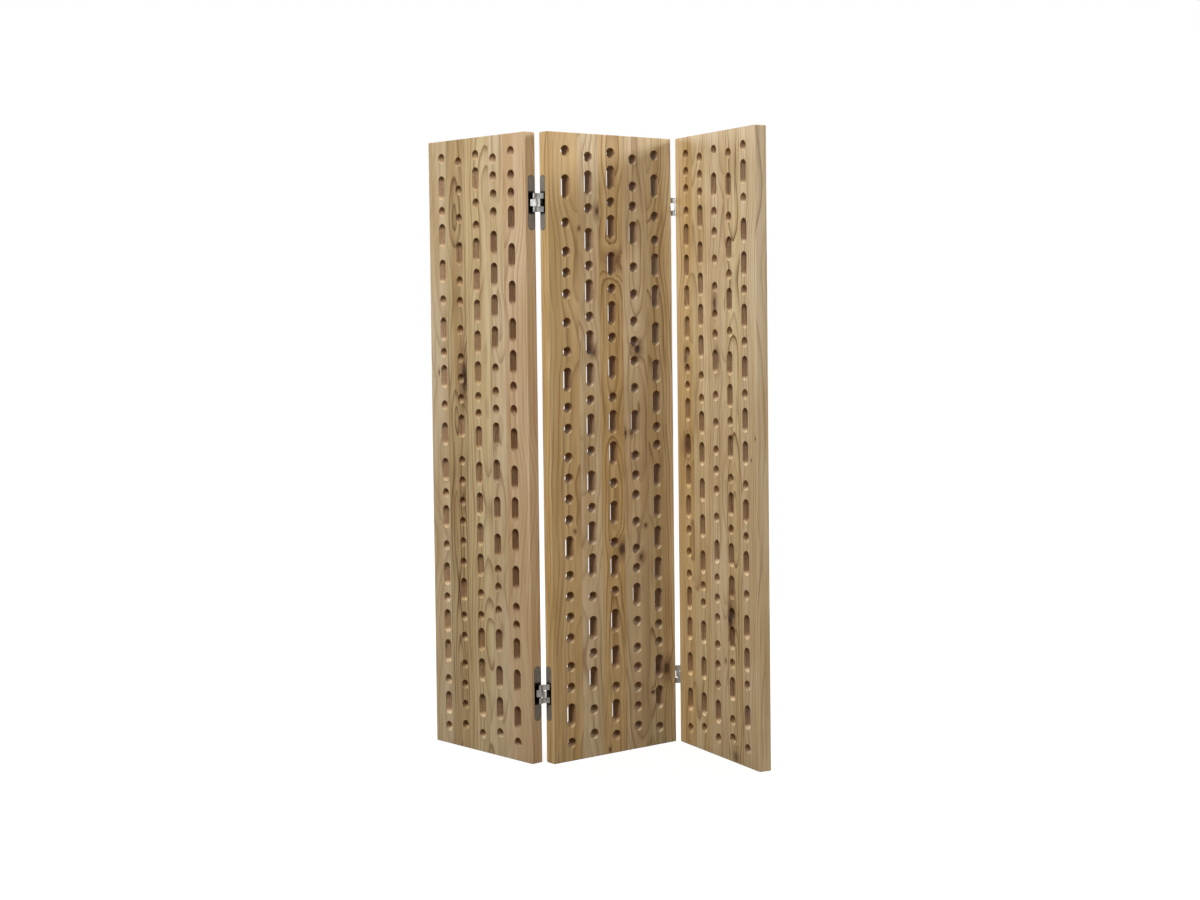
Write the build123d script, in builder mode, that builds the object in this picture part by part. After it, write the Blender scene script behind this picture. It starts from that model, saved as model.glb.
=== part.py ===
"""Three-panel folding room divider of pierced solid wood, hung on concealed three-arm hinges.

Millimetres. The middle panel stands on z = 0 along X, with its front face towards -Y. The left
panel folds back and the right panel folds forward, so the screen stands as a zigzag.
"""
import math
import os

from build123d import *

# Panels
HEIGHT = 1800
WIDTH = 450
THICK = 38
EASE = 2.5
REST_FOLD = {"left": 85, "right": 100}

# Pierced marks: round holes and upright slots in five columns
COLUMNS = 5
COLUMN_PITCH = 0.18 * WIDTH
MARK = 30
SLOT = 70
END_MARGIN = (37, 52)
SMALL_GAP = 22
GROUP_STRETCH = 1.75
MARK_COUNTS = (20, 21, 22, 23, 24)

# Where the edge-glued staves of each panel meet, as shares of the width from its left edge
STAVE_JOINTS = {
    "left": (0, 0.184, 0.387, 0.631, 0.782, 1),
    "centre": (0, 0.233, 0.402, 0.587, 0.789, 1),
    "right": (0, 0.218, 0.42, 0.629, 0.813, 1),
}

# Hinges: the same distance from the top and the bottom of the panel
HINGE_FROM_END = 200
PLATE_LENGTH = 156
PLATE_WIDTH = 24
PLATE_THICK = 5
PLATE_INSET = 3
BODY_DEPTH = 17
BODY_HALF = 32
POCKET_END_WALL = 4
POCKET_HALF = BODY_HALF - POCKET_END_WALL
POCKET_DEPTH = 15
POCKET_WALL = 1.2
POCKET_ROUND = 1.5
CAP_THICK = 2
CAP_RIM = 0.8
FIT = 0.2
RUNNING_FIT = 0.05
PRESS_FIT = 0.02

# Hinge geometry in plan: x out of the panel's edge face, y from the panel's inner face
PIVOT_BACK = 2.2
PIVOT_IN = 8.0
ARM = 17.2
ARM_START = 69.5
ARM_SHARE = 5 / 6
BEND = (2.7, 7.2)
TAIL = (13.0, 4.5)
PIVOT_PIN = 1.25
KNUCKLE_PIN = 1.5
PIVOT_BOSS = 2.6
KNUCKLE_BOSS = 3.0
ARM_HALF = 2.4
PIN_CHAMFER = 0.3

# Layers of the three arms, as heights from the middle of the hinge
CENTRE_ARM_HALF = 9.5
OUTER_ARM_FROM = 11
OUTER_ARM_TO = 26.5

# Screws, with their heights from the middle of the hinge
SCREW_HEIGHTS = (BODY_HALF + 18, PLATE_LENGTH / 2 - 12)
SCREW_LENGTH = 30
SCREW_SHANK = 2
SCREW_HEAD = 4
CAP_SCREW_HEIGHT = BODY_HALF + 4
CAP_SCREW_LENGTH = 4.8
CAP_SCREW_SHANK = 1.5
CAP_SCREW_HEAD = 2.75
DRIVE_SLOT_REACH = 1.4
DRIVE_SLOT_WIDTH = 0.7
DRIVE_SLOT_DEPTH = 0.6

HINGE_HEIGHTS = {"lower": HINGE_FROM_END, "upper": HEIGHT - HINGE_FROM_END}
PLATE_MIDDLE = PLATE_INSET + PLATE_WIDTH / 2
FIRST_COLUMN = (WIDTH - (COLUMNS - 1) * COLUMN_PITCH) / 2
# In each panel's own frame: the edges that carry hinges, and whether the inner face is the front
HINGED_EDGES = {
    "left": [("right", False)],
    "centre": [("left", False), ("right", True)],
    "right": [("left", True)],
}

os.makedirs("parts", exist_ok=True)


def save(name, part, place=Location()):
    """Label one piece, put it where it belongs and write it."""
    placed = part.moved(place)
    placed.label = name
    export_step(placed, f"parts/{name}.step")


def is_slot(step, column):
    """The rule that makes a column's rhythm: which of its marks are slots."""
    return (step * step + 5 * column + step * column) % 7 in (1, 2, 3, 6)


def starts_group(step, column):
    """The rule for the wider spaces, which part the marks into short groups."""
    return (3 * step + 2 * column + step // 4) % 8 in (0, 3, 5)


def column_marks(column):
    """(height, length) of one column's marks. Both ends are round, and the spaces fill the run."""
    margin = END_MARGIN[column % COLUMNS % 2]
    run = HEIGHT - 2 * margin
    best = None
    for count in MARK_COUNTS:
        lengths = [SLOT if is_slot(step, column) else MARK for step in range(count)]
        lengths[0] = MARK
        lengths[-1] = MARK
        shares = [
            GROUP_STRETCH if starts_group(step, column) else 1 for step in range(1, count)
        ]
        gap = (run - sum(lengths)) / sum(shares)
        if best is None or abs(gap - SMALL_GAP) < abs(best[0] - SMALL_GAP):
            best = (gap, lengths, shares)
    gap, lengths, shares = best
    marks = []
    top = HEIGHT - margin
    for length, share in zip(lengths, shares + [0]):
        marks.append((top - length / 2, length))
        top -= length + gap * share
    return marks


def mirror_line(fold):
    """Normal and distance of the plane that halves a fold, in the centre panel's hinge frame."""
    half = math.radians(fold / 2)
    arm = math.radians(ARM_START + (0.5 - ARM_SHARE) * fold)
    distance = ARM * math.cos(arm) - PIVOT_BACK * math.cos(half) - PIVOT_IN * math.sin(half)
    return (math.cos(half), -math.sin(half)), distance


def wing_place(fold):
    """The wing's hinge frame as seen from the centre panel's hinge frame."""
    normal, distance = mirror_line(fold)
    return Location(
        (2 * distance * normal[0], 2 * distance * normal[1], 0), (0, 0, 180 - fold)
    )


# Hinge frames on the centre panel. The left one is turned round, so its inner face is the back.
CENTRE_HINGE = {
    "left": Location((-WIDTH / 2, THICK / 2, 0), (0, 0, 180)),
    "right": Location((WIDTH / 2, -THICK / 2, 0)),
}
WING_HINGE = {
    side: CENTRE_HINGE[side] * wing_place(REST_FOLD[side]) for side in ("left", "right")
}
PANEL_PLACE = {
    "left": WING_HINGE["left"] * Location((-WIDTH, -THICK, 0)),
    "centre": Location((-WIDTH / 2, -THICK / 2, 0)),
    "right": WING_HINGE["right"] * Location((0, 0, 0), (0, 0, 180)),
}


def is_eased(edge, first, last):
    """True for a stave's edges that lie on two outer faces of its panel."""
    middle = edge.center()
    outer = [
        math.isclose(middle.Y, 0, abs_tol=0.01) or math.isclose(middle.Y, THICK, abs_tol=0.01),
        math.isclose(middle.Z, 0, abs_tol=0.01) or math.isclose(middle.Z, HEIGHT, abs_tol=0.01),
        first and math.isclose(middle.X, 0, abs_tol=0.01),
        last and math.isclose(middle.X, WIDTH, abs_tol=0.01),
    ]
    return sum(outer) >= 2


def edge_plane(edge, inner_is_front, height):
    """Sketch plane on a panel's edge: X from the inner face, Y up, Z out of the wood."""
    out = 1 if edge == "right" else -1
    start = 0 if inner_is_front else THICK
    across = 1 if inner_is_front else -1
    return Plane(
        origin=(WIDTH if edge == "right" else 0, start, height),
        x_dir=(0, across, 0),
        z_dir=(out, 0, 0),
    )


def make_seat_cutter(edge, inner_is_front):
    """Both hinge mortises of one panel edge, with pilot holes for the wood screws."""
    with BuildPart() as cutter:
        for height in HINGE_HEIGHTS.values():
            face = edge_plane(edge, inner_is_front, height)
            with BuildSketch(face):
                with Locations((PLATE_MIDDLE, 0)):
                    SlotOverall(PLATE_LENGTH + 2 * FIT, PLATE_WIDTH + 2 * FIT, rotation=90)
            extrude(amount=-PLATE_THICK)
            with BuildSketch(face):
                with Locations((PLATE_MIDDLE, 0)):
                    Rectangle(PLATE_WIDTH + 2 * FIT, 2 * (BODY_HALF + FIT))
            extrude(amount=-(BODY_DEPTH + FIT))
            with BuildSketch(face):
                for rise in SCREW_HEIGHTS:
                    with Locations((PLATE_MIDDLE, rise), (PLATE_MIDDLE, -rise)):
                        Circle(SCREW_SHANK + RUNNING_FIT)
            extrude(amount=-(SCREW_LENGTH + PLATE_THICK))
    return cutter.part


def make_stave(panel, number):
    """One stave of a panel in the panel's frame: X across, Y from front to back, Z up."""
    joints = STAVE_JOINTS[panel]
    left, right = joints[number] * WIDTH, joints[number + 1] * WIDTH
    first = number == 0
    last = number == COLUMNS - 1
    panel_number = list(STAVE_JOINTS).index(panel)
    column_x = FIRST_COLUMN + number * COLUMN_PITCH
    cutters = [
        make_seat_cutter(edge, inner_is_front)
        for edge, inner_is_front in HINGED_EDGES[panel]
        if (edge == "left" and first) or (edge == "right" and last)
    ]
    with BuildPart() as stave:
        with Locations(((left + right) / 2, THICK / 2, HEIGHT / 2)):
            Box(right - left, THICK, HEIGHT)
        rounded = [edge for edge in stave.edges() if is_eased(edge, first, last)]
        fillet(rounded, radius=EASE)
        with BuildSketch(Plane.XZ):
            for height, length in column_marks(panel_number * COLUMNS + number):
                with Locations((column_x, height)):
                    if length > MARK:
                        SlotOverall(length, MARK, rotation=90)
                    else:
                        Circle(MARK / 2)
        extrude(amount=-THICK, mode=Mode.SUBTRACT)
        for cutter in cutters:
            add(cutter, mode=Mode.SUBTRACT)
    return stave.part


for panel in STAVE_JOINTS:
    for number in range(COLUMNS):
        save(f"{panel}_stave_{number + 1}", make_stave(panel, number), PANEL_PLACE[panel])


# Hinge pieces are made in the hinge frame. The wing's pieces are the same with y reversed.
def face_plane(depth=0):
    """Sketch plane on the panel's edge face: X across the edge, Y up, Z out of the wood."""
    return Plane(origin=(-depth, 0, 0), x_dir=(0, 1, 0), z_dir=(1, 0, 0))


def make_housing(side):
    """Cast body let into the panel's edge: a round-ended plate with the arm pocket behind it."""
    middle = side * PLATE_MIDDLE
    pocket_width = PLATE_WIDTH - 2 * POCKET_WALL
    with BuildPart() as housing:
        with BuildSketch(face_plane()):
            with Locations((middle, 0)):
                SlotOverall(PLATE_LENGTH, PLATE_WIDTH, rotation=90)
        extrude(amount=-PLATE_THICK)
        with BuildSketch(face_plane()):
            with Locations((middle, 0)):
                Rectangle(PLATE_WIDTH, 2 * BODY_HALF)
        extrude(amount=-BODY_DEPTH)
        # Open pocket for the arms
        with BuildSketch(face_plane()):
            with Locations((middle, 0)):
                RectangleRounded(pocket_width, 2 * POCKET_HALF, POCKET_ROUND)
        extrude(amount=-POCKET_DEPTH, mode=Mode.SUBTRACT)
        # Shallow seats that leave the two caps flush
        with BuildSketch(face_plane()):
            with Locations((middle, 0)):
                SlotOverall(
                    PLATE_LENGTH - 2 * CAP_RIM, PLATE_WIDTH - 2 * CAP_RIM, rotation=90
                )
                Rectangle(PLATE_WIDTH, 2 * BODY_HALF, mode=Mode.SUBTRACT)
        extrude(amount=-CAP_THICK, mode=Mode.SUBTRACT)
        # Countersunk holes for the wood screws and plain ones for the cap screws
        with Locations(face_plane(CAP_THICK)):
            for rise in SCREW_HEIGHTS:
                with Locations((middle, rise, 0), (middle, -rise, 0)):
                    CounterSinkHole(SCREW_SHANK + RUNNING_FIT, SCREW_HEAD, PLATE_THICK)
            with Locations((middle, CAP_SCREW_HEIGHT, 0), (middle, -CAP_SCREW_HEIGHT, 0)):
                Hole(CAP_SCREW_SHANK + RUNNING_FIT, PLATE_THICK)
        # Bore for the fixed pivot pin, through both end walls of the pocket
        with BuildSketch(Plane.XY):
            with Locations((-PIVOT_BACK, side * PIVOT_IN)):
                Circle(PIVOT_PIN + PRESS_FIT)
        extrude(amount=BODY_HALF, both=True, mode=Mode.SUBTRACT)
    return housing.part


def make_caps(side):
    """The two satin cover caps of one plate, each square at the pocket and round at its end."""
    middle = side * PLATE_MIDDLE
    inset = 2 * (CAP_RIM + FIT)
    with BuildPart() as caps:
        with BuildSketch(face_plane()):
            with Locations((middle, 0)):
                SlotOverall(PLATE_LENGTH - inset, PLATE_WIDTH - inset, rotation=90)
                Rectangle(PLATE_WIDTH, 2 * (BODY_HALF + FIT), mode=Mode.SUBTRACT)
        extrude(amount=-CAP_THICK)
        with Locations(face_plane()):
            with Locations((middle, CAP_SCREW_HEIGHT, 0), (middle, -CAP_SCREW_HEIGHT, 0)):
                CounterSinkHole(CAP_SCREW_SHANK + RUNNING_FIT, CAP_SCREW_HEAD, CAP_THICK)
    return caps.part


def make_screws(side, rises, depth, length, shank, head):
    """Countersunk screws of one plate edge, at both hinge heights, with a straight drive slot."""
    middle = side * PLATE_MIDDLE
    taper = head - shank
    spots = []
    for height in HINGE_HEIGHTS.values():
        for rise in rises:
            spots.append((-depth, middle, height + rise))
            spots.append((-depth, middle, height - rise))
    with BuildPart() as screws:
        with Locations(*[Location(spot, (0, 90, 0)) for spot in spots]):
            with Locations((0, 0, -taper / 2)):
                Cone(shank, head - RUNNING_FIT, taper)
            with Locations((0, 0, -(length + taper) / 2)):
                Cylinder(shank, length - taper)
            Box(
                head * DRIVE_SLOT_REACH,
                DRIVE_SLOT_WIDTH,
                2 * DRIVE_SLOT_DEPTH,
                mode=Mode.SUBTRACT,
            )
    return screws.part


def make_pin(radius, half, centre):
    """A plain pin standing along Z."""
    with BuildPart() as pin:
        with Locations((centre[0], centre[1], 0)):
            Cylinder(radius, 2 * half)
        chamfer(pin.edges().filter_by(GeomType.CIRCLE), length=PIN_CHAMFER)
    return pin.part


def knuckle_at(fold, side):
    """Where the knuckle pin stands in a hinge frame, and which way the arm points."""
    direction = math.radians(ARM_START - ARM_SHARE * fold)
    x = -PIVOT_BACK + ARM * math.cos(direction)
    y = PIVOT_IN + ARM * math.sin(direction)
    return (x, side * y), direction


def arm_sketch(fold, side, pivot_hole, knuckle_hole):
    """Plan of one arm: pivot boss, hooked neck round the panel's corner, knuckle boss and tail."""
    (knuckle_x, knuckle_y), direction = knuckle_at(fold, side)
    along = (math.cos(direction), side * math.sin(direction))
    left = (-math.sin(direction), side * math.cos(direction))
    pivot = (-PIVOT_BACK, side * PIVOT_IN)
    knuckle = (knuckle_x, knuckle_y)
    bend = tuple(pivot[i] + BEND[0] * along[i] + BEND[1] * left[i] for i in (0, 1))
    tail = tuple(knuckle[i] + TAIL[0] * along[i] + TAIL[1] * left[i] for i in (0, 1))
    with BuildSketch() as plan:
        with BuildLine():
            Polyline(pivot, bend, knuckle, tail)
        trace(line_width=2 * ARM_HALF)
        with Locations(bend, tail):
            Circle(ARM_HALF)
        with Locations(pivot):
            Circle(PIVOT_BOSS)
        with Locations(knuckle):
            Circle(KNUCKLE_BOSS)
        with Locations(pivot):
            Circle(pivot_hole, mode=Mode.SUBTRACT)
        with Locations(knuckle):
            Circle(knuckle_hole, mode=Mode.SUBTRACT)
    return plan.sketch


def make_arm(fold, side, layers, knuckle_fit):
    """An arm's plan raised through its layers, so the two outer arms make one piece of two."""
    plan = arm_sketch(fold, side, PIVOT_PIN + RUNNING_FIT, KNUCKLE_PIN + knuckle_fit)
    with BuildPart() as arm:
        for bottom, top in layers:
            with BuildSketch(Plane.XY.offset(bottom)):
                add(plan)
            extrude(amount=top - bottom)
    return arm.part


OUTER_LAYERS = [(-OUTER_ARM_TO, -OUTER_ARM_FROM), (OUTER_ARM_FROM, OUTER_ARM_TO)]
CENTRE_LAYERS = [(-CENTRE_ARM_HALF, CENTRE_ARM_HALF)]

for side, fold in REST_FOLD.items():
    frames = {"centre": (CENTRE_HINGE[side], 1), "wing": (WING_HINGE[side], -1)}
    outer_arms = make_arm(fold, 1, OUTER_LAYERS, PRESS_FIT)
    centre_arm = make_arm(fold, -1, CENTRE_LAYERS, RUNNING_FIT)
    knuckle_pin = make_pin(KNUCKLE_PIN, OUTER_ARM_TO, knuckle_at(fold, 1)[0])
    for level, height in HINGE_HEIGHTS.items():
        lift = Location((0, 0, height))
        hinge = f"{side}_{level}"
        for frame, (place, flip) in frames.items():
            pivot_pin = make_pin(PIVOT_PIN, BODY_HALF, (-PIVOT_BACK, flip * PIVOT_IN))
            save(f"{hinge}_{frame}_housing", make_housing(flip), place * lift)
            save(f"{hinge}_{frame}_caps", make_caps(flip), place * lift)
            save(f"{hinge}_{frame}_pivot_pin", pivot_pin, place * lift)
        save(f"{hinge}_outer_arms", outer_arms, frames["centre"][0] * lift)
        save(f"{hinge}_knuckle_pin", knuckle_pin, frames["centre"][0] * lift)
        save(f"{hinge}_centre_arm", centre_arm, frames["wing"][0] * lift)
    for frame, (place, flip) in frames.items():
        wood_screws = make_screws(
            flip, SCREW_HEIGHTS, CAP_THICK, SCREW_LENGTH, SCREW_SHANK, SCREW_HEAD
        )
        cap_screws = make_screws(
            flip, (CAP_SCREW_HEIGHT,), 0, CAP_SCREW_LENGTH, CAP_SCREW_SHANK, CAP_SCREW_HEAD
        )
        save(f"{side}_{frame}_wood_screws", wood_screws, place)
        save(f"{side}_{frame}_cap_screws", cap_screws, place)
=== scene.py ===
import math

import bmesh
import bpy
from mathutils import Matrix
from mathutils import Vector


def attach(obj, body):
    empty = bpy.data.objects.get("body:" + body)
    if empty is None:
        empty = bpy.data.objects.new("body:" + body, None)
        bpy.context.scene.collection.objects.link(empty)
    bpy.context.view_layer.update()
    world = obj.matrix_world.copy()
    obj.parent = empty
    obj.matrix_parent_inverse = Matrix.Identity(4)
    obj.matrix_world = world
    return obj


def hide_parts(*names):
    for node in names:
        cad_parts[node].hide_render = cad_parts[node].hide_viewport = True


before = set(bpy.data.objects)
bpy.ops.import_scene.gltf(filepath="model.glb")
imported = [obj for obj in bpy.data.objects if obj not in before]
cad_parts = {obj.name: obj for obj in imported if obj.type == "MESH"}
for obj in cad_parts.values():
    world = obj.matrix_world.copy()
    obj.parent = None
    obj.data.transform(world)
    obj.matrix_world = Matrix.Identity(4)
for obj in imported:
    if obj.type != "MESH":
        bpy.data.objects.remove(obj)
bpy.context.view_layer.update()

# Sizes in metres, the same as the solid model's
HEIGHT = 1.8
WIDTH = 0.45
THICK = 0.038
EASE = 0.0025
RIM = 0.0005
REST_FOLD = {"left": 85, "right": 100}
COLUMNS = 5
PITCH = 0.18 * WIDTH
MARK = 0.030
SLOT = 0.070
END_MARGIN = (0.037, 0.052)
SMALL_GAP = 0.022
GROUP_STRETCH = 1.75
MARK_COUNTS = (20, 21, 22, 23, 24)
STAVE_JOINTS = {
    "left": (0, 0.184, 0.387, 0.631, 0.782, 1),
    "centre": (0, 0.233, 0.402, 0.587, 0.789, 1),
    "right": (0, 0.218, 0.42, 0.629, 0.813, 1),
}
FIRST_COLUMN = (WIDTH - (COLUMNS - 1) * PITCH) / 2

# How finely curves are cut, and how close two points count as one (m)
RING_STEPS = 32
CURVE_STEPS = 4
SEAT_STEPS = 24
SAME_PLACE = 0.0000001
MERGE_WITHIN = 0.000002
CUTTER_PROUD = 0.002
SHARP_FROM = 35
FLAT_WEIGHT = 80

# Hinges
HINGE_HEIGHTS = (0.2, HEIGHT - 0.2)
PLATE_LENGTH = 0.156
PLATE_WIDTH = 0.024
PLATE_THICK = 0.005
PLATE_MIDDLE = 0.003 + PLATE_WIDTH / 2
BODY_DEPTH = 0.017
BODY_HALF = 0.032
FIT = 0.0002
PIVOT_BACK = 0.0022
PIVOT_IN = 0.008
ARM = 0.0172
ARM_START = 69.5
ARM_SHARE = 5 / 6
HINGED_EDGES = {
    "left": [("right", False)],
    "centre": [("left", False), ("right", True)],
    "right": [("left", True)],
}


def plan_frame(x, y, degrees):
    """A frame standing on the floor, turned about the upright."""
    return Matrix.Translation((x, y, 0)) @ Matrix.Rotation(math.radians(degrees), 4, "Z")


def wing_frame(fold):
    """The wing's hinge frame as seen from the centre panel's hinge frame."""
    half = math.radians(fold / 2)
    arm = math.radians(ARM_START + (0.5 - ARM_SHARE) * fold)
    distance = ARM * math.cos(arm) - PIVOT_BACK * math.cos(half) - PIVOT_IN * math.sin(half)
    return plan_frame(
        2 * distance * math.cos(half), -2 * distance * math.sin(half), 180 - fold
    )


PANEL_FRAMES = {
    "left": plan_frame(-WIDTH / 2, THICK / 2, 180)
    @ wing_frame(REST_FOLD["left"])
    @ plan_frame(-WIDTH, -THICK, 0),
    "centre": plan_frame(-WIDTH / 2, -THICK / 2, 0),
    "right": plan_frame(WIDTH / 2, -THICK / 2, 0)
    @ wing_frame(REST_FOLD["right"])
    @ plan_frame(0, 0, 180),
}


def is_slot(step, column):
    """The rule that makes a column's rhythm: which of its marks are slots."""
    return (step * step + 5 * column + step * column) % 7 in (1, 2, 3, 6)


def starts_group(step, column):
    """The rule for the wider spaces, which part the marks into short groups."""
    return (3 * step + 2 * column + step // 4) % 8 in (0, 3, 5)


def column_marks(column):
    """(height, length) of one column's marks, from the bottom up."""
    margin = END_MARGIN[column % COLUMNS % 2]
    run = HEIGHT - 2 * margin
    best = None
    for count in MARK_COUNTS:
        lengths = [SLOT if is_slot(step, column) else MARK for step in range(count)]
        lengths[0] = MARK
        lengths[-1] = MARK
        shares = [
            GROUP_STRETCH if starts_group(step, column) else 1 for step in range(1, count)
        ]
        gap = (run - sum(lengths)) / sum(shares)
        if best is None or abs(gap - SMALL_GAP) < abs(best[0] - SMALL_GAP):
            best = (gap, lengths, shares)
    gap, lengths, shares = best
    marks = []
    top = HEIGHT - margin
    for length, share in zip(lengths, shares + [0]):
        marks.append((top - length / 2, length))
        top -= length + gap * share
    return marks[::-1]


def mark_ring(radius, half):
    """Outline of a mark about its centre, from the lower right corner and anticlockwise."""
    ring = []
    for step in range(RING_STEPS):
        angle = 2 * math.pi * step / RING_STEPS - math.pi / 4
        x = radius * math.cos(angle)
        z = radius * math.sin(angle)
        if abs(z) > radius * 0.01:
            ring.append((x, z + math.copysign(half, z)))
        elif half == 0:
            ring.append((x, 0.0))
        else:
            ring.append((x, -math.copysign(half, x)))
            ring.append((x, math.copysign(half, x)))
    return ring


def cell_ring(radius, half, reach):
    """The mark's outline stretched to its rectangular cell. reach is left, right, down, up."""
    left, right, down, up = reach
    corner = radius * math.sqrt(0.5)
    ring = []
    for x, z in mark_ring(radius, half):
        across = x / corner
        along = z / (half + corner)
        across = max(-1, min(1, across))
        along = max(-1, min(1, along))
        ring.append((across * (right if x > 0 else left), along * (up if z > 0 else down)))
    return ring


def add_band(mesh, lower, upper):
    """Quads between two rings of vertices."""
    for index in range(len(lower)):
        following = (index + 1) % len(lower)
        corners = [lower[index], lower[following], upper[following], upper[index]]
        mesh.faces.new(corners)


def side_points(ring, side):
    """The points of a cell's outline on one of its sides, in order."""
    axis = 0 if side in ("left", "right") else 1
    farthest = min if side in ("left", "bottom") else max
    limit = farthest(point[axis] for point in ring)
    return [point for point in ring if abs(point[axis] - limit) <= SAME_PLACE]


def rows_through(cell, half):
    """Rows of points through a mark, from its cell on the front face to that on the back."""
    front = [[(x, 0.0, z) for x, z in cell]]
    for step in range(CURVE_STEPS + 1):
        angle = math.pi / 2 * step / CURVE_STEPS
        radius = MARK / 2 + RIM * (1 - math.sin(angle))
        depth = RIM * (1 - math.cos(angle))
        front.append([(x, depth, z) for x, z in mark_ring(radius, half)])
    back = [[(x, THICK - y, z) for x, y, z in row] for row in front[::-1]]
    return front + back


def rim_corner(point, start, is_outer, upright):
    """The rim's points at a corner: an arc on the outside, a plain one at a glue joint."""
    if not is_outer:
        return [(point, (0, upright))]
    turns = [math.radians(start + 90 * step / CURVE_STEPS) for step in range(CURVE_STEPS + 1)]
    return [(point, (math.cos(turn), math.sin(turn))) for turn in turns]


def rim_outline(outlines, face_left, face_right, outer_left, outer_right):
    """(point, way out) round a stave's face, anticlockwise from its lower left corner."""
    bottom_row = sorted(side_points(outlines[0], "bottom"))
    top_row = sorted(side_points(outlines[-1], "top"))
    heights = sorted({round(z, 7) for ring in outlines for x, z in side_points(ring, "right")})
    low = EASE
    high = HEIGHT - EASE
    rim = rim_corner((face_left, low), 180, outer_left, -1)
    rim += [((x, low), (0, -1)) for x, z in bottom_row[1:-1]]
    rim += rim_corner((face_right, low), 270, outer_right, -1)
    rim += [((face_right, z), (1 if outer_right else 0, 0)) for z in heights[1:-1]]
    rim += rim_corner((face_right, high), 0, outer_right, 1)
    rim += [((x, high), (0, 1)) for x, z in top_row[-2:0:-1]]
    rim += rim_corner((face_left, high), 90, outer_left, 1)
    rim += [((face_left, z), (-1 if outer_left else 0, 0)) for z in heights[-2:0:-1]]
    return rim


def edge_steps():
    """(out, depth) down a stave's side, with the eased edges of both faces."""
    steps = []
    for step in range(CURVE_STEPS + 1):
        angle = math.pi / 2 * step / CURVE_STEPS
        steps.append((EASE * math.sin(angle), EASE * (1 - math.cos(angle))))
    return steps + [(out, THICK - depth) for out, depth in steps[::-1]]


def stave_mesh(panel, number):
    """One stave in its panel's frame, its marks pierced with softly eased rims."""
    shares = STAVE_JOINTS[panel]
    outer_left = number == 0
    outer_right = number == COLUMNS - 1
    face_left = shares[number] * WIDTH + (EASE if outer_left else 0)
    face_right = shares[number + 1] * WIDTH - (EASE if outer_right else 0)
    centre_x = FIRST_COLUMN + number * PITCH
    panel_number = list(STAVE_JOINTS).index(panel)
    marks = column_marks(panel_number * COLUMNS + number)
    splits = [EASE]
    for (low, low_length), (high, high_length) in zip(marks, marks[1:]):
        splits.append((low + low_length / 2 + high - high_length / 2) / 2)
    splits.append(HEIGHT - EASE)

    mesh = bmesh.new()
    walls = []
    outlines = []
    for (height, length), bottom, top in zip(marks, splits, splits[1:]):
        half = (length - MARK) / 2
        reach = (centre_x - face_left, face_right - centre_x, height - bottom, top - height)
        cell = cell_ring(MARK / 2, half, reach)
        outlines.append([(centre_x + x, height + z) for x, z in cell])
        rings = []
        for row in rows_through(cell, half):
            rings.append([mesh.verts.new((centre_x + x, y, height + z)) for x, y, z in row])
        for index in range(len(rings) - 1):
            before = len(mesh.faces)
            add_band(mesh, rings[index], rings[index + 1])
            if 1 <= index <= len(rings) - 3:
                walls.append((before, len(mesh.faces)))

    rim = rim_outline(outlines, face_left, face_right, outer_left, outer_right)
    rows = []
    for out, depth in edge_steps():
        row = []
        for (x, z), (across, upright) in rim:
            row.append(mesh.verts.new((x + across * out, depth, z + upright * out)))
        rows.append(row)
    for lower, upper in zip(rows, rows[1:]):
        add_band(mesh, lower, upper)

    mesh.faces.ensure_lookup_table()
    for first, last in walls:
        for index in range(first, last):
            mesh.faces[index].material_index = 1
    bmesh.ops.remove_doubles(mesh, verts=mesh.verts, dist=MERGE_WITHIN)
    bmesh.ops.dissolve_degenerate(mesh, edges=mesh.edges, dist=MERGE_WITHIN)
    bmesh.ops.recalc_face_normals(mesh, faces=mesh.faces)
    return mesh


def seat_outline(kind):
    """(across, up) round a hinge mortise: the plate's round-ended seat or the body's."""
    half_width = PLATE_WIDTH / 2 + FIT
    if kind == "body":
        tall = BODY_HALF + FIT
        return [
            (half_width, tall),
            (-half_width, tall),
            (-half_width, -tall),
            (half_width, -tall),
        ]
    straight = PLATE_LENGTH / 2 + FIT - half_width
    outline = []
    for end in (1, -1):
        for step in range(SEAT_STEPS + 1):
            angle = math.pi * step / SEAT_STEPS + (0 if end > 0 else math.pi)
            up = end * straight + half_width * math.sin(angle)
            outline.append((half_width * math.cos(angle), up))
    return outline


def seat_cutter(edge, inner_is_front, height, kind):
    """A hinge mortise of a panel edge as a solid."""
    out = 1 if edge == "right" else -1
    start = 0 if inner_is_front else THICK
    across = 1 if inner_is_front else -1
    depth = PLATE_THICK if kind == "plate" else BODY_DEPTH + FIT
    face = WIDTH if edge == "right" else 0
    mesh = bmesh.new()
    rings = []
    for x in (face + out * CUTTER_PROUD, face - out * depth):
        ring = []
        for y, z in seat_outline(kind):
            ring.append(mesh.verts.new((x, start + across * (PLATE_MIDDLE + y), height + z)))
        rings.append(ring)
        mesh.faces.new(ring)
    add_band(mesh, rings[0], rings[1])
    bmesh.ops.recalc_face_normals(mesh, faces=mesh.faces)
    return mesh


def mesh_object(name, source):
    """A new object of a finished bmesh."""
    data = bpy.data.meshes.new(name)
    source.to_mesh(data)
    source.free()
    made = bpy.data.objects.new(name, data)
    bpy.context.scene.collection.objects.link(made)
    return made


def cut_away(target, cutters):
    """Cuts solids out of an object for good, and deletes them."""
    for index, cutter in enumerate(cutters):
        modifier = target.modifiers.new(f"cut_{index}", "BOOLEAN")
        modifier.operation = "DIFFERENCE"
        modifier.solver = "EXACT"
        modifier.object = cutter
    graph = bpy.context.evaluated_depsgraph_get()
    cut = bpy.data.meshes.new_from_object(target.evaluated_get(graph))
    target.modifiers.clear()
    target.data = cut
    for cutter in cutters:
        bpy.data.objects.remove(cutter)


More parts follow.
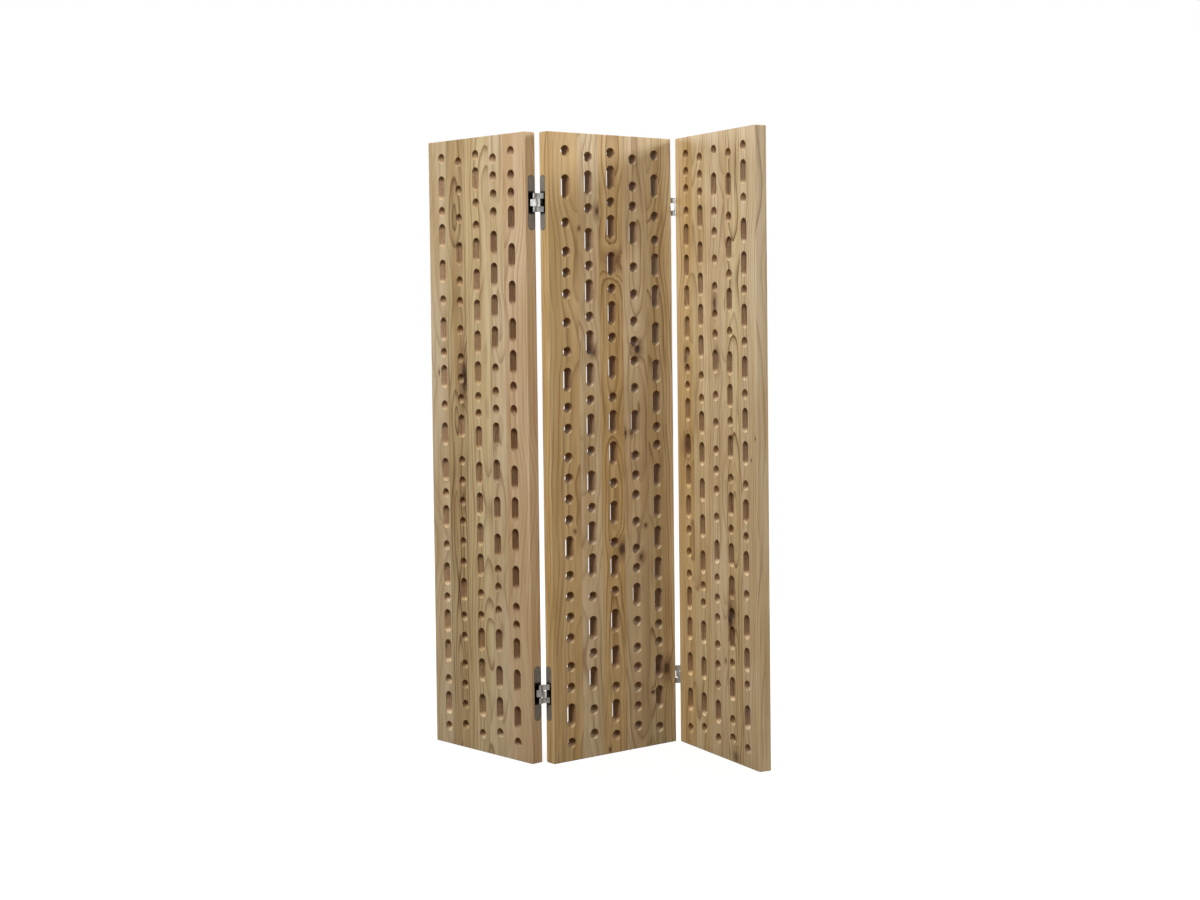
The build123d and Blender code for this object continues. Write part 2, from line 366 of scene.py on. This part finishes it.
def shade(made):
    """Smooth shading that keeps the flats flat and the corners sharp."""
    made.data.shade_smooth()
    made.data.set_sharp_from_angle(angle=math.radians(SHARP_FROM))
    modifier = made.modifiers.new("even_normals", "WEIGHTED_NORMAL")
    modifier.keep_sharp = True
    modifier.weight = FLAT_WEIGHT


class Sheet:
    """Short ways to add and join the nodes of one material."""

    def __init__(self, name):
        self.material = bpy.data.materials.new(name)
        self.material.use_nodes = True
        self.tree = self.material.node_tree
        self.tree.nodes.clear()
        self.shader = self.tree.nodes.new("ShaderNodeBsdfPrincipled")
        output = self.tree.nodes.new("ShaderNodeOutputMaterial")
        self.tree.links.new(self.shader.outputs[0], output.inputs["Surface"])

    def feed(self, socket, value):
        if isinstance(value, bpy.types.NodeSocket):
            self.tree.links.new(value, socket)
        elif isinstance(value, (tuple, list)) and len(value) == 3 and socket.type == "RGBA":
            socket.default_value = (*value, 1)
        else:
            socket.default_value = value

    def math(self, kind, first, second=0.0):
        node = self.tree.nodes.new("ShaderNodeMath")
        node.operation = kind
        self.feed(node.inputs[0], first)
        self.feed(node.inputs[1], second)
        return node.outputs[0]

    def vector(self, kind, first, second=(0, 0, 0)):
        node = self.tree.nodes.new("ShaderNodeVectorMath")
        node.operation = kind
        self.feed(node.inputs[0], first)
        self.feed(node.inputs[1], second)
        return node.outputs["Value"] if kind == "LENGTH" else node.outputs[0]

    def noise(self, where, scale, detail=2.0, rough=0.5, color=False):
        node = self.tree.nodes.new("ShaderNodeTexNoise")
        self.feed(node.inputs["Vector"], where)
        node.inputs["Scale"].default_value = scale
        node.inputs["Detail"].default_value = detail
        node.inputs["Roughness"].default_value = rough
        return node.outputs["Color"] if color else node.outputs["Fac"]

    def split(self, where):
        node = self.tree.nodes.new("ShaderNodeSeparateXYZ")
        self.feed(node.inputs[0], where)
        return node.outputs

    def join(self, x, y, z):
        node = self.tree.nodes.new("ShaderNodeCombineXYZ")
        for socket, value in zip(node.inputs, (x, y, z)):
            self.feed(socket, value)
        return node.outputs[0]

    def span(self, value, low, high, out_low=0.0, out_high=1.0, smooth=True):
        node = self.tree.nodes.new("ShaderNodeMapRange")
        node.interpolation_type = "SMOOTHSTEP" if smooth else "LINEAR"
        for socket, number in zip(node.inputs, (value, low, high, out_low, out_high)):
            self.feed(socket, number)
        return node.outputs[0]

    def mix(self, share, first, second, kind="MIX"):
        node = self.tree.nodes.new("ShaderNodeMix")
        node.data_type = "RGBA"
        node.blend_type = kind
        node.clamp_factor = True
        self.feed(node.inputs["Factor"], share)
        self.feed(node.inputs[6], first)
        self.feed(node.inputs[7], second)
        return node.outputs[2]

    def bump(self, height, strength, distance):
        node = self.tree.nodes.new("ShaderNodeBump")
        node.inputs["Strength"].default_value = strength
        node.inputs["Distance"].default_value = distance
        self.feed(node.inputs["Height"], height)
        return node.outputs[0]

    def place(self, panel):
        """Positions in a panel's own frame: across, from front to back, up."""
        inverse = PANEL_FRAMES[panel].inverted()
        coords = self.tree.nodes.new("ShaderNodeTexCoord")
        mapping = self.tree.nodes.new("ShaderNodeMapping")
        mapping.inputs["Location"].default_value = inverse.to_translation()
        mapping.inputs["Rotation"].default_value = inverse.to_euler()
        self.tree.links.new(coords.outputs["Object"], mapping.inputs[0])
        return mapping.outputs[0]


def srgb(red, green, blue):
    """A colour written as it shows on a screen, out of 255, made linear."""
    return tuple(
        c / 12.92 if c <= 0.04045 else ((c + 0.055) / 1.055) ** 2.4
        for c in (red / 255, green / 255, blue / 255)
    )


# Wood tones: pale ground, darker ground, late-wood line
TONES = {
    "beige": (srgb(207, 183, 144), srgb(189, 160, 117), srgb(128, 92, 56)),
    "pink": (srgb(206, 177, 139), srgb(190, 156, 115), srgb(138, 95, 60)),
    "honey": (srgb(203, 172, 121), srgb(184, 148, 93), srgb(122, 82, 40)),
    "straw": (srgb(208, 184, 139), srgb(188, 158, 110), srgb(116, 77, 40)),
    "olive": (srgb(194, 168, 122), srgb(168, 136, 90), srgb(94, 62, 34)),
}
KNOT_DARK = srgb(64, 44, 28)
KNOT_RED = srgb(116, 80, 48)
CRACK_DARK = srgb(66, 44, 28)
# Brown of the painted shade on the bored walls, as in a recess
BORE_SHADE_BROWN = srgb(118, 73, 38)

# How far the tree's heart wanders, and how far a ring waves (m)
HEART_WANDER = (0.05, 0.11, 0)
RING_WAVE = 0.0042

# How far from a joint its line of glue fades (m), and how strong the line is
GLUE_FADE = (0.0001, 0.0004)
GLUE_STRENGTH = 0.45

# Relief of the wood's surface: share, and depth (m). Its gloss.
RELIEF = (0.35, 0.0006)
WOOD_SPECULAR = 0.35

# Each stave: tone, ring spacing (mm), heart across and behind (mm), lean (mm per metre), contrast
STAVES = {
    ("left", 0): ("beige", 12, 30, 120, 4, 0.5),
    ("left", 1): ("olive", 10, -8, 34, 26, 1.0),
    ("left", 2): ("straw", 10, 40, 60, 12, 0.8),
    ("left", 3): ("beige", 12, 6, 40, -30, 0.75),
    ("left", 4): ("pink", 11, -70, 90, 8, 0.55),
    ("centre", 0): ("honey", 11, 60, 90, 10, 0.7),
    ("centre", 1): ("beige", 10, -40, 80, -8, 0.7),
    ("centre", 2): ("honey", 10, 4, 40, 22, 1.0),
    ("centre", 3): ("beige", 10, 10, 50, -24, 0.8),
    ("centre", 4): ("straw", 10, -50, 50, 14, 0.9),
    ("right", 0): ("honey", 10, 40, 60, 12, 0.7),
    ("right", 1): ("straw", 11, -40, 70, -10, 0.7),
    ("right", 2): ("beige", 10, 50, 60, 10, 0.7),
    ("right", 3): ("straw", 9, 0, 36, 32, 1.1),
    ("right", 4): ("beige", 10, -50, 50, -12, 0.7),
}

# Knots: across the panel and up (m), size across (m), how dark, and how tall for its width
KNOTS = {
    "left": [
        (0.160, 1.100, 0.012, 1.0, 3.6),
        (0.152, 1.034, 0.006, 0.8, 3.0),
        (0.038, 1.115, 0.0025, 0.8, 2.4),
        (0.145, 0.738, 0.007, 0.6, 2.6),
        (0.300, 0.900, 0.006, 0.3, 2.0),
    ],
    "centre": [
        (0.174, 1.580, 0.007, 0.8, 1.8),
        (0.109, 1.528, 0.0035, 0.8, 1.3),
        (0.228, 1.433, 0.015, 0.6, 1.2),
        (0.316, 1.179, 0.010, 1.0, 1.4),
        (0.153, 1.176, 0.008, 1.0, 1.3),
        (0.268, 0.934, 0.0035, 0.9, 2.0),
        (0.291, 0.935, 0.005, 0.7, 1.5),
        (0.290, 0.870, 0.002, 0.9, 1.6),
        (0.341, 0.659, 0.0035, 0.9, 1.2),
        (0.084, 0.661, 0.004, 0.7, 1.2),
        (0.252, 0.596, 0.012, 0.9, 1.4),
        (0.323, 0.567, 0.007, 0.8, 1.4),
        (0.415, 0.225, 0.012, 0.8, 1.5),
        (0.362, 0.160, 0.005, 0.9, 0.7),
        (0.200, 0.012, 0.003, 0.9, 2.0),
    ],
    "right": [
        (0.224, 1.311, 0.008, 0.9, 2.4),
        (0.387, 1.520, 0.007, 0.8, 1.4),
        (0.053, 1.150, 0.008, 0.7, 2.6),
        (0.235, 1.150, 0.008, 0.9, 2.4),
        (0.056, 0.894, 0.012, 1.0, 1.5),
        (0.441, 0.932, 0.002, 0.9, 1.6),
        (0.419, 0.871, 0.002, 0.9, 1.4),
        (0.298, 0.415, 0.013, 1.0, 2.4),
        (0.270, 0.285, 0.0035, 0.7, 1.6),
        (0.322, 0.018, 0.012, 0.6, 1.3),
    ],
}

# Hairline cracks: across at the lower end, lower and upper height, slope, width (m)
CRACKS = {
    "left": [(0.331, 1.20, 1.62, -0.05, 0.0008)],
    "centre": [(0.270, 0.86, 0.99, -0.03, 0.0007), (0.226, 0.74, 0.83, 0.01, 0.0009)],
    "right": [(0.243, 0.86, 1.01, 0.01, 0.0009)],
}


def grow_knots(sheet, here, seeded, reach, panel, left, right):
    """Grain that runs round every knot, and where the knots' cores and halos are."""
    cores = 0.0
    halos = 0.0
    for knot_x, knot_z, size, dark, tall in KNOTS[panel]:
        if not left - 0.03 < knot_x < right + 0.03:
            continue
        offset = sheet.vector("SUBTRACT", here, (knot_x, 0, knot_z))
        scaled = sheet.vector("MULTIPLY", offset, (1 / size, 0, 1 / (size * tall)))
        ripple = sheet.noise(sheet.vector("MULTIPLY", seeded, (1, 1, 0.5)), 160, 2, 0.6)
        away = sheet.vector("LENGTH", scaled)
        away = sheet.math("ADD", away, sheet.math("MULTIPLY", ripple, 0.9))
        swell = sheet.span(away, 0.4, 5.0, 1.0, 0.0)
        reach = sheet.math("ADD", reach, sheet.math("MULTIPLY", swell, size * 1.3))
        if left <= knot_x <= right:
            core = sheet.span(away, 0.9, 1.8, dark, 0.0)
            halo = sheet.span(away, 1.3, 4.0, dark * 0.85, 0.0)
            cores = sheet.math("MAXIMUM", cores, core)
            halos = sheet.math("MAXIMUM", halos, halo)
    return reach, cores, halos


def growth_lines(sheet, seeded, seed, z, reach, spacing, contrast):
    """Late wood of growth rings that are uneven in width and strength, and fine streaks."""
    ripple = sheet.noise(sheet.vector("MULTIPLY", seeded, (1, 1, 0.12)), 34, 3, 0.55)
    reach = sheet.math("ADD", reach, sheet.math("MULTIPLY", ripple, RING_WAVE))
    rings = sheet.math("DIVIDE", reach, spacing)
    uneven = sheet.noise(sheet.join(rings, seed, 0.0), 0.43, 1)
    rings = sheet.math("ADD", rings, sheet.math("MULTIPLY", uneven, 1.7))
    turn = sheet.math("FRACT", rings)
    rising = sheet.math("POWER", turn, 3.6)
    falling = sheet.span(turn, 0.9, 1.0, 1.0, 0.0)
    late = sheet.math("MULTIPLY", rising, falling)
    along = sheet.math("MULTIPLY", z, 1.6)
    strong = sheet.noise(sheet.join(sheet.math("FLOOR", rings), seed * 2, along), 1.9, 1)
    strong = sheet.span(strong, 0.32, 0.62, 0.2, 1.4)
    late = sheet.math("MULTIPLY", late, sheet.math("MULTIPLY", strong, contrast))
    streak = sheet.noise(sheet.vector("MULTIPLY", seeded, (1, 1, 0.03)), 130, 2, 0.6)
    streak = sheet.span(streak, 0.56, 0.72, 0.0, 0.55 * contrast)
    return sheet.math("MAXIMUM", late, streak)


def ground_tone(sheet, seeded, pale, deep):
    """Broad bands of tone along the board, and warmer patches."""
    broad = sheet.noise(sheet.vector("MULTIPLY", seeded, (1, 1, 0.07)), 26, 2, 0.6)
    ground = sheet.mix(sheet.span(broad, 0.32, 0.7), pale, deep)
    patch = sheet.noise(sheet.vector("MULTIPLY", seeded, (1, 1, 0.35)), 7, 2, 0.5)
    warm = sheet.span(patch, 0.45, 0.75, 0.0, 0.35)
    return sheet.mix(warm, ground, TONES["honey"][1])


def draw_cracks(sheet, color, seed, x, z, panel, left, right):
    """Hairline cracks that waver as they climb."""
    for low_x, low, high, slope, width in CRACKS[panel]:
        if not left <= low_x <= right:
            continue
        path = sheet.math("MULTIPLY", sheet.math("SUBTRACT", z, low), slope)
        wobble = sheet.noise(sheet.join(seed, 0.0, z), 22, 2)
        path = sheet.math("ADD", path, sheet.math("MULTIPLY", wobble, 0.006))
        aside = sheet.math("SUBTRACT", sheet.math("SUBTRACT", x, low_x), path)
        aside = sheet.math("ABSOLUTE", aside)
        thin = sheet.span(aside, width * 0.4, width, 1.0, 0.0)
        start = sheet.span(z, low, low + 0.02)
        end = sheet.span(z, high - 0.06, high, 1.0, 0.0)
        mask = sheet.math("MULTIPLY", thin, sheet.math("MULTIPLY", start, end))
        color = sheet.mix(sheet.math("MULTIPLY", mask, 0.8), color, CRACK_DARK)
    return color


def stave_material(panel, number, is_bore):
    """Solid wood of one stave, so its figure runs through the faces, edges and bored walls."""
    tone, spacing, heart_x, heart_y, lean, contrast = STAVES[(panel, number)]
    pale, deep, line = TONES[tone]
    kind = "bore" if is_bore else "face"
    sheet = Sheet(f"wood_{panel}_{number + 1}_{kind}")
    seed = 3.7 * (number + 1) + 31.3 * list(STAVE_JOINTS).index(panel)
    shares = STAVE_JOINTS[panel]
    left = shares[number] * WIDTH
    right = shares[number + 1] * WIDTH
    here = sheet.place(panel)
    x, y, z = sheet.split(here)
    seeded = sheet.vector("ADD", here, (seed, seed * 0.7, seed * 1.3))

    # The tree's heart leans, and wanders slowly along the board
    slow = sheet.vector("MULTIPLY", seeded, (0.4, 0.4, 1.1))
    wander = sheet.vector("SUBTRACT", sheet.noise(slow, 2.2, 1.5, color=True), (0.5, 0.5, 0.5))
    wander = sheet.vector("MULTIPLY", wander, HEART_WANDER)
    heart = ((left + right) / 2 + heart_x / 1000, -heart_y / 1000, HEIGHT / 2)
    leaning = sheet.math("MULTIPLY", sheet.math("SUBTRACT", z, HEIGHT / 2), lean / 1000)
    across = sheet.vector("ADD", sheet.vector("SUBTRACT", here, heart), wander)
    across = sheet.vector("ADD", across, sheet.join(0.0, leaning, 0.0))
    reach = sheet.vector("LENGTH", sheet.vector("MULTIPLY", across, (1, 1, 0)))

    reach, cores, halos = grow_knots(sheet, here, seeded, reach, panel, left, right)
    late = growth_lines(sheet, seeded, seed, z, reach, spacing / 1000, contrast)
    color = sheet.mix(late, ground_tone(sheet, seeded, pale, deep), line)
    fibre = sheet.noise(sheet.vector("MULTIPLY", seeded, (1, 1, 0.012)), 620, 3, 0.65)
    grey = sheet.span(fibre, 0.25, 0.75, 0.35, 0.65, False)
    color = sheet.mix(0.5, color, sheet.join(grey, grey, grey), "OVERLAY")
    color = sheet.mix(sheet.math("MULTIPLY", halos, 0.8), color, KNOT_RED)
    color = sheet.mix(cores, color, KNOT_DARK)
    color = draw_cracks(sheet, color, seed, x, z, panel, left, right)

    # A hair of dark glue at each joint
    for joint in (left, right):
        if 0 < joint < WIDTH:
            aside = sheet.math("ABSOLUTE", sheet.math("SUBTRACT", x, joint))
            seam = sheet.span(aside, *GLUE_FADE, GLUE_STRENGTH, 0.0)
            color = sheet.mix(seam, color, line)

    rough = sheet.span(fibre, 0.2, 0.8, 0.5, 0.66, False)
    relief = sheet.math("MULTIPLY", fibre, 0.5)
    relief = sheet.math("ADD", relief, sheet.math("MULTIPLY", late, 0.4))
    if is_bore:
        # Routed walls are rougher, and painted shade darkens their colour as in a recess, least
        # at their upward-facing lower ends, where light from above falls
        wall_noise = sheet.noise(seeded, 180, 3, 0.6)
        facing = sheet.tree.nodes.new("ShaderNodeNewGeometry").outputs["Normal"]
        painted_shade = sheet.span(sheet.split(facing)[2], 0.1, 0.8, 1.0, 0.05)
        painted_shade = sheet.math("MULTIPLY", painted_shade, sheet.span(wall_noise, 0.3, 0.8, 0.5, 0.75))
        color = sheet.mix(painted_shade, color, BORE_SHADE_BROWN)
        rough = sheet.span(wall_noise, 0.2, 0.8, 0.65, 0.85, False)
        relief = sheet.math("ADD", relief, wall_noise)
    sheet.feed(sheet.shader.inputs["Base Color"], color)
    sheet.feed(sheet.shader.inputs["Roughness"], rough)
    sheet.feed(sheet.shader.inputs["Normal"], sheet.bump(relief, *RELIEF))
    sheet.shader.inputs["Specular IOR Level"].default_value = WOOD_SPECULAR
    return sheet.material


def metal_material(name, pale, dark, metallic, rough, brush, depth=0.00004):
    """Satin metal: faint cloudy tone, fine brushing along brush, and a slight grain in relief."""
    sheet = Sheet(name)
    coords = sheet.tree.nodes.new("ShaderNodeTexCoord")
    here = coords.outputs["Object"]
    cloud = sheet.noise(here, 90, 3, 0.6)
    fine = sheet.noise(sheet.vector("MULTIPLY", here, brush), 2600, 3, 0.6)
    color = sheet.mix(sheet.span(cloud, 0.3, 0.7, 0.15, 0.85), pale, dark)
    color = sheet.mix(sheet.span(fine, 0.35, 0.75, 0.0, 0.3), color, dark)
    sheet.feed(sheet.shader.inputs["Base Color"], color)
    satin = sheet.span(fine, 0.2, 0.8, rough - 0.07, rough + 0.09)
    sheet.feed(sheet.shader.inputs["Roughness"], satin)
    sheet.feed(sheet.shader.inputs["Normal"], sheet.bump(fine, 0.25, depth))
    sheet.shader.inputs["Metallic"].default_value = metallic
    return sheet.material


HOUSING = metal_material(
    "cast_dark", srgb(62, 61, 60), srgb(38, 37, 36), 0.6, 0.5, (1, 1, 1), 0.0001
)
CAP = metal_material(
    "satin_cap", srgb(142, 135, 123), srgb(126, 119, 108), 0.35, 0.46, (1, 1, 0.05)
)
ARM_STEEL = metal_material(
    "satin_arm", srgb(232, 229, 222), srgb(206, 203, 196), 0.75, 0.36, (1, 1, 0.1)
)
PIN = metal_material("pin", srgb(150, 148, 144), srgb(118, 116, 112), 0.95, 0.3, (1, 1, 0.1))
SCREW = metal_material("screw", srgb(206, 205, 202), srgb(172, 171, 168), 1.0, 0.26, (1, 1, 1))
METALS = {
    "housing": HOUSING,
    "caps": CAP,
    "arm": ARM_STEEL,
    "arms": ARM_STEEL,
    "pin": PIN,
    "screws": SCREW,
}

# Staves
for panel, panel_frame in PANEL_FRAMES.items():
    body = f"{panel}_panel"
    for number in range(COLUMNS):
        name = f"{panel}_stave_{number + 1}"
        stave = mesh_object(f"board_{name}", stave_mesh(panel, number))
        cutters = []
        for edge, inner_is_front in HINGED_EDGES[panel]:
            if number == (COLUMNS - 1 if edge == "right" else 0):
                for height in HINGE_HEIGHTS:
                    for kind in ("plate", "body"):
                        cutter = seat_cutter(edge, inner_is_front, height, kind)
                        cutters.append(mesh_object("cutter", cutter))
        stave.data.materials.append(stave_material(panel, number, False))
        stave.data.materials.append(stave_material(panel, number, True))
        if cutters:
            cut_away(stave, cutters)
        stave.data.transform(panel_frame)
        shade(stave)
        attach(stave, body)
        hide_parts(name)

# Hinge pieces keep the solid model's shapes, with lightly broken edges (m, degrees)
WELD_WITHIN = 0.000001
FLAT_WITHIN = 1
BROKEN_EDGE = 0.00025
BROKEN_FROM = 40
BROKEN_KINDS = ("housing", "caps", "arm", "arms")
for name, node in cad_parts.items():
    if "stave" in name:
        continue
    kind = name.split("_")[-1]
    node.data.materials.clear()
    node.data.materials.append(METALS[kind])
    weld = node.modifiers.new("weld", "WELD")
    weld.merge_threshold = WELD_WITHIN
    planar = node.modifiers.new("planar", "DECIMATE")
    planar.decimate_type = "DISSOLVE"
    planar.angle_limit = math.radians(FLAT_WITHIN)
    if kind in BROKEN_KINDS:
        broken = node.modifiers.new("broken_edges", "BEVEL")
        broken.width = BROKEN_EDGE
        broken.segments = 2
        broken.limit_method = "ANGLE"
        broken.angle_limit = math.radians(BROKEN_FROM)
        broken.harden_normals = False
    even = node.modifiers.new("even_normals", "WEIGHTED_NORMAL")
    even.keep_sharp = True


# Camera, fitted to the photograph: place (m), turns (radians), lens and sensor (mm), shift
EYE = (-3.3067, -4.3558, 1.2721)
HEADING = 0.89875
PITCH_DOWN = 0.03869
ROLL = 0.01042
LENS = 56.327
SENSOR = 36
SHIFT = (-0.04303, -0.05)
SEEN_FROM = 0.05
SEEN_TO = 60
camera_data = bpy.data.cameras.new("camera")
camera_data.sensor_width = SENSOR
camera_data.lens = LENS
camera_data.shift_x = SHIFT[0]
camera_data.shift_y = SHIFT[1]
camera_data.clip_start = SEEN_FROM
camera_data.clip_end = SEEN_TO
camera = bpy.data.objects.new("camera", camera_data)
forward = Vector(
    (
        math.cos(HEADING) * math.cos(PITCH_DOWN),
        math.sin(HEADING) * math.cos(PITCH_DOWN),
        -math.sin(PITCH_DOWN),
    )
)
level = Vector((math.sin(HEADING), -math.cos(HEADING), 0))
upright = level.cross(forward)
up = upright * math.cos(ROLL) + level * math.sin(ROLL)
right = level * math.cos(ROLL) - upright * math.sin(ROLL)
turn = Matrix((right, up, -forward)).transposed().to_4x4()
camera.matrix_world = Matrix.Translation(EYE) @ turn
bpy.context.scene.collection.objects.link(camera)
bpy.context.scene.camera = camera


# Lamps: name, place and target (m), size (m), power (W), tint
LAMPS = (
    ("fill_left", (-3.2, -1.35, 3.5), (0, 0, 1.2), 1.8, 178, (0.95, 1.0, 1.09)),
    ("key_right", (3.4, -1.2, 3.0), (0, -0.1, 1.1), 1.1, 196, (0.98, 1.0, 1.04)),
    ("fill_front", (0.9, -4.6, 0.9), (0, 0, 0.8), 1.5, 29, (1.0, 0.98, 0.94)),
    ("fill_back", (-0.3, 4.6, 2.3), (0, 0, 0.9), 1.4, 130, (1.0, 0.98, 0.95)),
)
for name, place, target, size, power, tint in LAMPS:
    lamp_data = bpy.data.lights.new(name, "AREA")
    lamp_data.shape = "SQUARE"
    lamp_data.size = size
    lamp_data.energy = power
    lamp_data.color = tint
    lamp = bpy.data.objects.new(name, lamp_data)
    lamp.location = place
    aim = Vector(target) - Vector(place)
    lamp.rotation_euler = aim.to_track_quat("-Z", "Y").to_euler()
    bpy.context.scene.collection.objects.link(lamp)

# Pale surroundings: white to the eye and through glass, a mild even light on everything else
WHITE = (1, 1, 1, 1)
SOFT_TINT = (1, 0.99, 0.97, 1)
SOFT_STRENGTH = 0.14
world = bpy.data.worlds.new("studio")
bpy.context.scene.world = world
world.use_nodes = True
tree = world.node_tree
tree.nodes.clear()
soft = tree.nodes.new("ShaderNodeBackground")
soft.inputs["Color"].default_value = SOFT_TINT
soft.inputs["Strength"].default_value = SOFT_STRENGTH
seen = tree.nodes.new("ShaderNodeBackground")
seen.inputs["Color"].default_value = WHITE
seen.inputs["Strength"].default_value = 1.0
path = tree.nodes.new("ShaderNodeLightPath")
either = tree.nodes.new("ShaderNodeMath")
either.operation = "MAXIMUM"
tree.links.new(path.outputs["Is Camera Ray"], either.inputs[0])
tree.links.new(path.outputs["Is Transmission Ray"], either.inputs[1])
blend = tree.nodes.new("ShaderNodeMixShader")
tree.links.new(either.outputs[0], blend.inputs[0])
tree.links.new(soft.outputs[0], blend.inputs[1])
tree.links.new(seen.outputs[0], blend.inputs[2])
surface = tree.nodes.new("ShaderNodeOutputWorld")
tree.links.new(blend.outputs[0], surface.inputs["Surface"])

# Floor: plain and pale, whiter to the eye farther out, and it keeps the screen's shadow
FLOOR_REACH = 12
FLOOR_DROP = 0.0005
FLOOR_COLOR = (0.2, 0.178, 0.152, 1)
FLOOR_FADE = {"From Min": 0.6, "From Max": 2.6, "To Min": 0.88, "To Max": 1.0}
floor_mesh = bmesh.new()
floor_corners = []
for x, y in ((-1, -1), (1, -1), (1, 1), (-1, 1)):
    floor_corners.append(floor_mesh.verts.new((x * FLOOR_REACH, y * FLOOR_REACH, -FLOOR_DROP)))
floor_mesh.faces.new(floor_corners)
floor = mesh_object("floor", floor_mesh)
floor_material = bpy.data.materials.new("floor")
floor_material.use_nodes = True
tree = floor_material.node_tree
tree.nodes.clear()
matte = tree.nodes.new("ShaderNodeBsdfDiffuse")
matte.inputs["Color"].default_value = FLOOR_COLOR
glow = tree.nodes.new("ShaderNodeEmission")
glow.inputs["Color"].default_value = WHITE
path = tree.nodes.new("ShaderNodeLightPath")
coords = tree.nodes.new("ShaderNodeTexCoord")
distance = tree.nodes.new("ShaderNodeVectorMath")
distance.operation = "LENGTH"
tree.links.new(coords.outputs["Object"], distance.inputs[0])
fading = tree.nodes.new("ShaderNodeMapRange")
for socket, number in FLOOR_FADE.items():
    fading.inputs[socket].default_value = number
tree.links.new(distance.outputs["Value"], fading.inputs[0])
strength = tree.nodes.new("ShaderNodeMath")
strength.operation = "MULTIPLY"
tree.links.new(path.outputs["Is Camera Ray"], strength.inputs[0])
tree.links.new(fading.outputs[0], strength.inputs[1])
tree.links.new(strength.outputs[0], glow.inputs["Strength"])
both = tree.nodes.new("ShaderNodeAddShader")
tree.links.new(matte.outputs[0], both.inputs[0])
tree.links.new(glow.outputs[0], both.inputs[1])
surface = tree.nodes.new("ShaderNodeOutputMaterial")
tree.links.new(both.outputs[0], surface.inputs["Surface"])
floor.data.materials.append(floor_material)

bpy.context.scene.view_settings.view_transform = "Standard"

bpy.context.view_layer.update()
